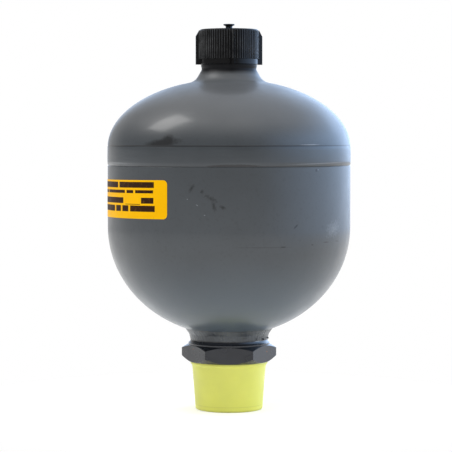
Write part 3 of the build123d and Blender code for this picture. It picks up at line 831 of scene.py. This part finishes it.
class ACCUMULATOR_OT_port_weld(bpy.types.Operator):
    """Rippled weld bead between the port fitting and the lower end, with a little spatter"""

    bl_idname = "accumulator.port_weld"
    bl_label = "Port weld"

    def execute(self, context):
        wave = context.scene.accumulator_sizes.weld_wave / MM
        ripples = 74
        steps = 18
        face = []
        for i in range(steps + 1):
            t = i / steps
            hollow = 0.75 * 4 * t * (1 - t)
            bead = 0.2 * abs(math.sin(2 * math.pi * t))
            reach = COLLAR_R + (TOE_R - COLLAR_R) * t - hollow + bead
            face.append((reach, COLLAR_TOP + (TOE_TOP - COLLAR_TOP) * t))
        under = ellipse_run(LOWER_CENTRE, BODY_R, -LOWER_DEPTH, TOE_R, SPIGOT_R, 10)
        bm = bmesh.new()
        for v in lathe(bm, face + under[1:] + [(SPIGOT_R, COLLAR_TOP)], 480):
            reach, height = reach_of(v.co), v.co.z / MM
            if reach > COLLAR_R - 0.4 and COLLAR_TOP + 0.2 < height < TOE_TOP - 0.1:
                turn = math.atan2(v.co.y, v.co.x)
                sway = noise.noise(Vector((math.cos(turn), math.sin(turn), 0.0)) * 5.0)
                ripple = math.sin(turn * ripples + 5.0 * sway + (height - COLLAR_TOP) * 0.9)
                rough = noise.noise(v.co * 700.0)
                push_out(v, 1 + wave * (0.22 * ripple + 0.2 * rough) / reach)
                v.co.z += 0.35 * sway * MM
        # Spatter: azimuth from the front in degrees, radius, height and size of each drop.
        for azimuth, radius, height, size in (
            (60.0, 19.9, 35.9, 0.5), (76.0, 20.0, 36.1, 0.45), (44.0, 19.8, 36.3, 0.35),
            (24.0, 20.1, 38.6, 0.25), (-12.0, 20.1, 38.4, 0.25), (-40.0, 20.2, 38.8, 0.25),
            (95.0, 19.8, 37.4, 0.35), (150.0, 20.0, 38.2, 0.4), (214.0, 19.8, 37.0, 0.35),
            (262.0, 19.9, 37.6, 0.35),
        ):
            turn = math.radians(azimuth)
            centre = Vector((radius * math.sin(turn), -radius * math.cos(turn), height)) * MM
            bmesh.ops.create_icosphere(
                bm, subdivisions=2, radius=size * MM, matrix=Matrix.Translation(centre)
            )
        paint = weld_paint(context.scene.accumulator_colours)
        piece(bm, "PortWeld", "vessel", ["port_weld"], [paint], sharp=60.0)
        return {"FINISHED"}


# ---- port side ---------------------------------------------------------------------------
class ACCUMULATOR_OT_port_fitting(bpy.types.Operator):
    """Hexagon, collar and threaded stub of the oil port"""

    bl_idname = "accumulator.port_fitting"
    bl_label = "Port fitting"

    def execute(self, context):
        sizes = context.scene.accumulator_sizes
        bm = bmesh.new()
        seat = SPIGOT_TOP - 1.9
        bore, stub = 10.45, 15.5
        lathe(bm, [
            (bore + 0.15, STUB_END),
            (stub - 0.4, STUB_END),
            (stub, STUB_END + 0.5),
            (stub, HEX_LOW - 1.6),
            (15.4, HEX_LOW - 1.2),
            (15.4, HEX_LOW + 1.0),
            (18.4, HEX_LOW + 5.0),
            (20.3, HEX_TOP - 0.6),
            (20.3, HEX_TOP + 0.1),
            (19.8, HEX_TOP + 0.45),
            (19.45, HEX_TOP + 0.9),
            (COLLAR_R, COLLAR_TOP),
            (SPIGOT_R, COLLAR_TOP),
            (SPIGOT_R, SPIGOT_TOP),
            (11.4, SPIGOT_TOP),
            (11.4, seat),
            (5.0, seat),
            (5.0, 28.9),
            (9.3, 26.3),
            (bore, 25.0),
            (bore, STUB_END + 0.3),
        ], 144)
        across_flats, top_face, bottom_face = 41.0, 19.2, 20.4
        drop, rise = math.tan(math.radians(30.0)), math.tan(math.radians(38.0))

        def upper(co):
            return Vector((co.x, co.y, (HEX_TOP - max(reach_of(co) - top_face, 0) * drop) * MM))

        loop = hexagon_loop(bm, across_flats, HEX_LOW, 144)
        for v in {v for e in loop for v in e.verts}:
            v.co.z = (HEX_LOW + max(reach_of(v.co) - bottom_face, 0) * rise) * MM
        ring = pull_loop(bm, loop, upper)
        ring = pull_loop(bm, ring, at_radius(top_face, HEX_TOP))
        ring = pull_loop(bm, ring, at_radius(17.0, HEX_TOP))
        under = pull_loop(bm, loop, at_radius(bottom_face, HEX_LOW))
        under = pull_loop(bm, under, at_radius(14.0, HEX_LOW))
        bmesh.ops.bridge_loops(bm, edges=ring + under)
        start = STUB_END + 0.9
        thread(bm, stub - 0.05, 16.5, sizes.stub_pitch / MM, start, HEX_LOW - 2.4 - start, 80)
        thread(bm, bore + 0.05, 9.35, sizes.port_pitch / MM, STUB_END + 1.0, 11.6, 64)
        paint = fitting_paint(context.scene.accumulator_colours)
        piece(bm, "PortFitting", "vessel", ["port_fitting"], [paint],
              bevel=sizes.edge_round)
        return {"FINISHED"}


class ACCUMULATOR_OT_port_cap(bpy.types.Operator):
    """Tapered soft plastic cap, pushed over the port stub"""

    bl_idname = "accumulator.port_cap"
    bl_label = "Port cap"

    def execute(self, context):
        taper, wall, floor, foot_round = 4.1, 1.1, 1.2, 0.9
        flange = high("port_cap", 0)

        def inside(height):
            """Radius of the tapered bore at this height."""
            return 16.7 + (height - STUB_END - 1.5) * math.tan(math.radians(taper))

        outline = [(0.0, 0.3), (1.9, 0.3), (2.3, 0.0)]
        foot = (inside(0) + wall - foot_round, foot_round)
        outline += corner_run(foot, foot_round, -90.0, -taper)
        outline += [
            (inside(20.6) + wall, 20.6),
            (inside(22.0) + wall + 0.12, 22.0),
            (inside(22.8) + wall + 0.4, 22.75),
        ]
        outline += corner_run((flange - 0.4, 23.35), 0.4, -80.0, 0.0)
        outline += corner_run((flange - 0.3, HEX_LOW - 0.3), 0.3, 0.0, 90.0, 3)
        outline += [
            (inside(HEX_LOW) + 0.25, HEX_LOW),
            (inside(HEX_LOW) - 0.05, HEX_LOW - 0.3),
            (inside(13.0), 13.0),
            (inside(1.8), 1.8),
            (inside(floor) - 0.6, floor),
            (0.0, floor),
        ]
        bm = bmesh.new()
        lathe(bm, outline, 180, closed=False)
        plastic = soft_plastic(context.scene.accumulator_colours)
        piece(bm, "PortCap", "port_cap", ["port_cap"], [plastic])
        return {"FINISHED"}


# ---- gas side ----------------------------------------------------------------------------
class ACCUMULATOR_OT_gas_cap(bpy.types.Operator):
    """Moulded screw cap with fine grip ribs, four lugs and a nub"""

    bl_idname = "accumulator.gas_cap"
    bl_label = "Gas cap"

    def execute(self, context):
        sizes = context.scene.accumulator_sizes
        radius, bore, foot = 14.5, 12.6, CAP_SEAT + BAND_HEIGHT
        shoulder = CAP_TOP - 0.55
        outline = [(bore + 0.3, CAP_SEAT), (radius - 0.2, CAP_SEAT), (radius, CAP_SEAT + 0.2)]
        outline += [(radius, foot - 0.05), (radius, foot + 0.15), (radius, shoulder - 0.25)]
        outline += [(radius, shoulder)]
        outline += corner_run((radius - 0.55, shoulder), 0.55, 18.0, 90.0, 4)
        outline += [
            (2.6, CAP_TOP),
            (1.9, CAP_TOP + 0.25),
            (1.7, CAP_TOP + 0.7),
            (1.75, CAP_TOP + 1.7),
            (2.6, CAP_TOP + 2.0),
            (2.85, CAP_TOP + 2.2),
            (2.8, CAP_TOP + NUB_HEIGHT - 0.1),
            (2.5, CAP_TOP + NUB_HEIGHT),
            (0.0, CAP_TOP + NUB_HEIGHT),
        ]
        inner = [
            (0.0, CAP_TOP - 1.5),
            (bore - 0.6, CAP_TOP - 1.5),
            (bore, CAP_TOP - 2.1),
            (bore, CAP_SEAT + 0.3),
            (bore + 0.3, CAP_SEAT),
        ]
        bm = bmesh.new()
        per_rib = 6
        for v in lathe(bm, outline + inner, RIBS * per_rib, closed=False):
            reach, height = reach_of(v.co), v.co.z / MM
            column = round(math.atan2(v.co.y, v.co.x) / FULL_TURN * RIBS * per_rib) % per_rib
            if reach > radius - 0.02 and foot + 0.1 < height < shoulder - 0.2 and column < 3:
                push_out(v, 1 + sizes.rib_height / MM / reach)
        lugs, first_lug, lug_top = 4, -83.0, CAP_TOP - 0.5
        for i in range(lugs):
            before = set(bm.verts)
            middle = (15.025, 0.0, (CAP_SEAT + lug_top) / 2)
            made = block(bm, (3.35, 2.5, lug_top - CAP_SEAT), middle)
            for v in made:
                v.co.y *= 1.44 if v.co.x < 15.0 * MM else 0.42
            geom = made + list({e for v in made for e in v.link_edges})
            geom += list({f for v in made for f in v.link_faces})
            cut = bmesh.ops.bisect_plane(
                bm, geom=geom, plane_co=(16.7 * MM, 0, (CAP_TOP - 3.5) * MM),
                plane_no=(3.0, 0.0, 1.7), clear_outer=True,
            )["geom_cut"]
            bmesh.ops.holes_fill(bm, edges=only(bmesh.types.BMEdge, cut))
            made = [v for v in bm.verts if v not in before]
            turn = Matrix.Rotation(math.radians(first_lug) + FULL_TURN * i / lugs, 3, "Z")
            bmesh.ops.rotate(bm, verts=made, cent=(0, 0, 0), matrix=turn)
        thread(bm, bore + 0.1, 12.15, sizes.gas_pitch / MM, CAP_SEAT + 1.6, 10.5, 64)
        plastic = cap_plastic(context.scene.accumulator_colours)
        piece(bm, "GasCap", "gas_cap", ["gas_cap"], [plastic],
              bevel=0.00012, sharp=40.0)
        return {"FINISHED"}


class ACCUMULATOR_OT_charging_screw(bpy.types.Operator):
    """Socket-head screw that closes the gas side, with its sealing ring"""

    bl_idname = "accumulator.charging_screw"
    bl_label = "Charging screw and seal"

    def execute(self, context):
        sizes = context.scene.accumulator_sizes
        colours = context.scene.accumulator_colours
        steel = turned_steel(colours)
        end, head = low("charging_screw"), BOSS_TOP - 4.5
        core, socket, steps = 5.05, 6.0, 96
        bm = bmesh.new()
        lathe(bm, [
            (0.0, end),
            (4.6, end),
            (core, end + 0.6),
            (core, head - 1.2),
            (5.6, head - 0.8),
            (5.6, head),
            (8.0, head),
            (8.0, BOSS_TOP - 0.8),
            (7.2, BOSS_TOP),
            (4.4, BOSS_TOP),
            (4.1, BOSS_TOP - 0.3),
        ], steps, closed=False)
        rim = [e for e in bm.edges if e.is_boundary]
        mouth = hexagon_loop(bm, socket, BOSS_TOP - 0.9, steps)
        bmesh.ops.bridge_loops(bm, edges=rim + mouth)
        sink = pull_loop(bm, mouth, lambda co: Vector((co.x, co.y, (BOSS_TOP - 3.2) * MM)))
        tip = pull_loop(bm, sink, lambda co: Vector((0, 0, (BOSS_TOP - 3.9) * MM)))
        bmesh.ops.remove_doubles(bm, verts=list({v for e in tip for v in e.verts}), dist=2e-6)
        thread(bm, core - 0.05, 6.0, sizes.screw_pitch / MM, end + 0.8, head - 2.4 - end, 48)
        piece(bm, "ChargingScrew", "vessel", ["charging_screw"], [steel],
              bevel=0.00015)

        ring = bmesh.new()
        low_z, high_z = low("charging_seal"), high("charging_seal")
        inner, outer = 6.15, 8.1
        lathe(ring, [
            (inner, low_z + 0.2), (inner + 0.2, low_z), (outer - 0.2, low_z),
            (outer, low_z + 0.2), (outer, high_z - 0.2), (outer - 0.2, high_z),
            (inner + 0.2, high_z), (inner, high_z - 0.2),
        ], steps)
        rubber = made_once("Moulded rubber", moulded_rubber, colours)
        piece(ring, "ChargingSeal", "vessel", ["charging_seal"], [rubber])
        return {"FINISHED"}


# ---- inside ------------------------------------------------------------------------------
class ACCUMULATOR_OT_inside(bpy.types.Operator):
    """Diaphragm, clamp ring and closing button"""

    bl_idname = "accumulator.inside"
    bl_label = "Diaphragm, clamp ring and button"

    def execute(self, context):
        colours = context.scene.accumulator_colours
        steel = made_once("Turned steel", turned_steel, colours)
        self.diaphragm(made_once("Moulded rubber", moulded_rubber, colours))
        self.clamp_ring(steel)
        self.button(steel)
        return {"FINISHED"}

    def diaphragm(self, rubber):
        gap, thickness = 0.3, 3.0
        outer, depth = INNER_R - gap, LOWER_DEPTH - WALL - gap
        inner, inner_depth = outer - thickness, depth - thickness
        floor = low("diaphragm")
        outer_floor = outer * beside((LOWER_CENTRE - floor) / depth)
        inner_floor = inner * beside((LOWER_CENTRE - floor - thickness) / inner_depth)
        outline = ellipse_run(LOWER_CENTRE, outer, -depth, outer, outer_floor, 36)
        outline += [(2.8, floor), (2.8, floor + thickness)]
        outline += ellipse_run(LOWER_CENTRE, inner, -inner_depth, inner_floor, inner, 36)
        outline += corner_run((inner + 1.5, BEAD_TOP - 1.5), 1.5, 180.0, 90.0)
        outline += [(SEAT_R - 0.4, BEAD_TOP), (SEAT_R, BEAD_TOP - 0.4)]
        outline += [(SEAT_R, BEAD_LOW + 0.4), (SEAT_R - 0.4, BEAD_LOW), (outer, BEAD_LOW)]
        bm = bmesh.new()
        lathe(bm, outline, 144)
        bowl = piece(bm, "Diaphragm", "vessel", ["diaphragm"], [rubber], sharp=45.0)
        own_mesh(bowl)

    def clamp_ring(self, steel):
        top = high("clamp_ring")
        foot = INNER_R - 1.8
        wall = SEAT_R - 3.0
        bm = bmesh.new()
        lathe(bm, [
            (SEAT_R, BEAD_TOP), (foot, BEAD_TOP), (foot, BEAD_TOP + 3.0),
            (wall, BEAD_TOP + 3.0), (wall, top), (SEAT_R, top),
        ], 144)
        piece(bm, "ClampRing", "vessel", ["clamp_ring"], [steel], bevel=0.0004)

    def button(self, steel):
        bottom = low("closing_button")
        top = bottom + 3.0
        head = high("closing_button") - 1.2
        outline = [(0.0, bottom), (10.2, bottom)]
        outline += corner_run((10.2, bottom + 0.8), 0.8, -90.0, 0.0)
        outline += [(11.0, top - 0.3), (10.7, top), (2.5, top), (2.5, head), (4.8, head)]
        outline += [(5.0, head + 0.2), (5.0, head + 0.9), (4.7, head + 1.2), (0.0, head + 1.2)]
        bm = bmesh.new()
        lathe(bm, outline, 96, closed=False)
        piece(bm, "ClosingButton", "closing_button", ["closing_button"], [steel])


# ---- label -------------------------------------------------------------------------------
class ACCUMULATOR_OT_label(bpy.types.Operator):
    """Curved yellow label with plain rows of print"""

    bl_idname = "accumulator.label"
    bl_label = "Label"

    def execute(self, context):
        colours = context.scene.accumulator_colours
        bottom = low("label")
        tall = high("label") - bottom
        length, corner, columns = 74.0, 2.2, 48
        front_end, slant = math.radians(-29.0), 0.010
        # Rows of print: start and stop along the label from its front end, low and high edge.
        bars = (
            (7.5, 34.0, 14.8, 17.6), (35.5, 67.0, 14.8, 17.6),
            (8.0, 20.0, 12.2, 13.7), (21.5, 27.0, 12.2, 13.7), (28.5, 50.0, 12.2, 13.7),
            (51.0, 66.0, 12.2, 13.7),
            (7.8, 15.8, 7.3, 10.1), (30.0, 67.0, 7.3, 10.1), (16.5, 28.0, 6.75, 7.05),
            (7.0, 24.0, 3.4, 6.3), (25.5, 31.0, 3.4, 6.3), (32.5, 38.0, 3.4, 6.3),
            (39.5, 67.0, 3.4, 6.3),
        )
        bm = bmesh.new()
        corners = [(0, 0), (length, 0), (length, tall), (0, tall)]
        verts = [bm.verts.new((x * MM, 0.0, z * MM)) for x, z in corners]
        bm.faces.new(verts)
        bmesh.ops.bevel(
            bm, geom=verts, affect="VERTICES", offset=corner * MM, segments=6, profile=0.5,
            material=-1,
        )
        cuts_x = {i * length / columns for i in range(1, columns)}
        cuts_x |= {edge for bar in bars for edge in bar[:2]}
        cuts_z = {edge for bar in bars for edge in bar[2:]}
        for axis, cuts in ((0, cuts_x), (2, cuts_z)):
            for cut in sorted(cuts):
                normal = Vector((0, 0, 0))
                normal[axis] = 1.0
                bmesh.ops.bisect_plane(
                    bm, geom=bm.verts[:] + bm.edges[:] + bm.faces[:], dist=1e-7,
                    plane_co=normal * cut * MM, plane_no=normal,
                )
        for face in bm.faces:
            x, _, z = face.calc_center_median() / MM
            for start, stop, under, over in bars:
                if start < x < stop and under < z < over:
                    face.material_index = 1
        made = bmesh.ops.extrude_face_region(bm, geom=bm.faces[:])["geom"]
        raised = set(only(bmesh.types.BMVert, made))
        for v in bm.verts:
            reach = (BODY_R + (0.13 if v in raised else -0.02)) * MM
            turn = front_end - v.co.x / (BODY_R * MM)
            height = v.co.z + (bottom + 0.35) * MM - slant * v.co.x
            v.co = Vector((reach * math.sin(turn), -reach * math.cos(turn), height))
        film, ink = label_film(colours), label_ink(colours)
        piece(bm, "Label", "vessel", ["label"], [film, ink], sharp=40.0)
        return {"FINISHED"}


# ---- stage -------------------------------------------------------------------------------
class ACCUMULATOR_OT_stage(bpy.types.Operator):
    """Pale floor, soft studio light and the camera"""

    bl_idname = "accumulator.stage"
    bl_label = "Stage"

    def execute(self, context):
        scene = context.scene
        scene.view_settings.view_transform = "Standard"
        self.floor(scene.accumulator_colours)
        self.world(scene)
        warm, cool = (1.0, 0.99, 0.97), (0.72, 0.86, 1.0)
        self.lamp("Key softbox", (-0.636, -0.065, 0.77), 1.0, (0.36, 0.50), 3.6, warm)
        side = self.lamp("Right softbox", (0.87, 0.40, 0.25), 1.0, (0.9, 1.2), 5.5, cool)
        over = self.lamp("Overhead", (0.05, -0.45, 1.0), 1.3, (1.1, 0.9), 6.0, warm)
        side.visible_glossy = False
        over.visible_glossy = False
        self.camera(scene)
        return {"FINISHED"}

    def floor(self, colours):
        bm = bmesh.new()
        bmesh.ops.create_circle(bm, cap_ends=True, radius=0.16, segments=96)
        floor = mesh_object(bm, "Floor")
        material, tree, bsdf = new_material("Studio floor")
        rays = add(tree, "ShaderNodeLightPath").outputs
        shown = larger(tree, rays["Is Glossy Ray"], rays["Is Transmission Ray"])
        seen = larger(tree, rays["Is Camera Ray"], shown)
        reach = vector_maths(tree, "LENGTH", object_coordinates(tree))
        fade_start, fade_end = 0.09, 0.15
        feed(
            tree, bsdf, Base_Color=(*colours.floor, 1.0), Roughness=0.8,
            Emission_Color=WHITE, Emission_Strength=times(tree, seen, 0.35),
            Alpha=spread(tree, reach, fade_start, fade_end, 1.0, 0.0),
        )
        floor.data.materials.append(material)

    def world(self, scene):
        world = bpy.data.worlds.new("Studio")
        scene.world = world
        world.use_nodes = True
        tree = world.node_tree
        outward = add(tree, "ShaderNodeTexCoord").outputs["Generated"]
        way = parts_of(tree, outward)
        below = spread(tree, way["Z"], 0.0, -0.08)
        around = times(tree, spread(tree, way["Y"], -1.0, 0.4, 0.6, 1.0),
                       spread(tree, way["X"], -0.9, 0.3, 0.6, 1.0))
        lit = tree.nodes["Background"]
        feed(tree, lit, Color=WHITE, Strength=larger(tree, around, below))
        back = times(tree, spread(tree, way["Y"], 0.5, 0.85, 0.12, 0.75),
                     spread(tree, way["Z"], 0.1, 0.5, 1.0, 0.55))
        top = spread(tree, way["Z"], 0.45, 0.95, 0.0, 0.65)
        level = larger(tree, maths(tree, "ADD", back, top), times(tree, below, 1.35))
        shown = self.sky(tree, WHITE, level)
        window = vector_maths(tree, "DOT_PRODUCT", outward, (0.87, 0.45, 0.20))
        glow = times(tree, spread(tree, window, 0.08, 0.90, 0.0, 3.5),
                     spread(tree, way["Z"], 0.35, 0.75, 1.0, 0.15))
        glow = times(tree, glow, spread(tree, way["Z"], -0.06, 0.0))
        daylight = self.sky(tree, (0.42, 0.64, 1.0, 1.0), glow)
        mirrored = add(tree, "ShaderNodeAddShader", shown, daylight).outputs[0]
        backdrop = self.sky(tree, WHITE, 1.0)
        rays = add(tree, "ShaderNodeLightPath").outputs
        seen = larger(tree, rays["Is Glossy Ray"], rays["Is Transmission Ray"])
        inner = add(tree, "ShaderNodeMixShader", seen, lit.outputs[0], mirrored).outputs[0]
        outer = add(tree, "ShaderNodeMixShader", rays["Is Camera Ray"], inner, backdrop)
        feed(tree, tree.nodes["World Output"], Surface=outer.outputs[0])

    def sky(self, tree, colour, strength):
        return add(tree, "ShaderNodeBackground", Color=colour, Strength=strength).outputs[0]

    def lamp(self, name, way, distance, size, power, colour):
        data = bpy.data.lights.new(name, "AREA")
        data.shape = "RECTANGLE"
        data.size, data.size_y = size
        data.energy = power
        data.color = colour
        lamp = linked(name, data)
        middle = Vector((0.0, 0.0, 0.11))
        lamp.location = middle + Vector(way).normalized() * distance
        lamp.rotation_euler = Vector(way).to_track_quat("Z", "Y").to_euler()
        lamp.visible_camera = False
        return lamp

    def camera(self, scene):
        data = bpy.data.cameras.new("Camera")
        data.lens = scene.accumulator_sizes.camera_lens
        data.sensor_width = 36.0
        camera = linked("Camera", data)
        camera.location = (-0.0015, -0.976, 0.138)
        target = Vector((-0.0015, 0.0, 0.0917))
        way = target - camera.location
        camera.rotation_euler = way.to_track_quat("-Z", "Y").to_euler()
        scene.camera = camera


# ---- sidebar and registration ------------------------------------------------------------
PIECES = (
    ACCUMULATOR_OT_upper_shell,
    ACCUMULATOR_OT_lower_shell,
    ACCUMULATOR_OT_seam_weld,
    ACCUMULATOR_OT_port_weld,
    ACCUMULATOR_OT_port_fitting,
    ACCUMULATOR_OT_port_cap,
    ACCUMULATOR_OT_gas_cap,
    ACCUMULATOR_OT_charging_screw,
    ACCUMULATOR_OT_inside,
    ACCUMULATOR_OT_label,
    ACCUMULATOR_OT_stage,
)


class ACCUMULATOR_PT_sidebar(bpy.types.Panel):
    """Lists the pieces of the accumulator"""

    bl_idname = "ACCUMULATOR_PT_sidebar"
    bl_label = "Accumulator"
    bl_space_type = "VIEW_3D"
    bl_region_type = "UI"
    bl_category = "Accumulator"

    def draw(self, context):
        layout = self.layout
        for group in (context.scene.accumulator_sizes, context.scene.accumulator_colours):
            box = layout.box()
            for name in group.__annotations__:
                box.prop(group, name)
        for operator in PIECES:
            layout.operator(operator.bl_idname)


CLASSES = (AccumulatorSizes, AccumulatorColours, *PIECES, ACCUMULATOR_PT_sidebar)


def register():
    for cls in CLASSES:
        bpy.utils.register_class(cls)
    bpy.types.Scene.accumulator_sizes = bpy.props.PointerProperty(type=AccumulatorSizes)
    bpy.types.Scene.accumulator_colours = bpy.props.PointerProperty(type=AccumulatorColours)


def unregister():
    del bpy.types.Scene.accumulator_colours
    del bpy.types.Scene.accumulator_sizes
    for cls in reversed(CLASSES):
        bpy.utils.unregister_class(cls)


def main():
    register()
    for operator in PIECES:
        group, name = operator.bl_idname.split(".")
        getattr(getattr(bpy.ops, group), name)()


if __name__ == "__main__":
    main()
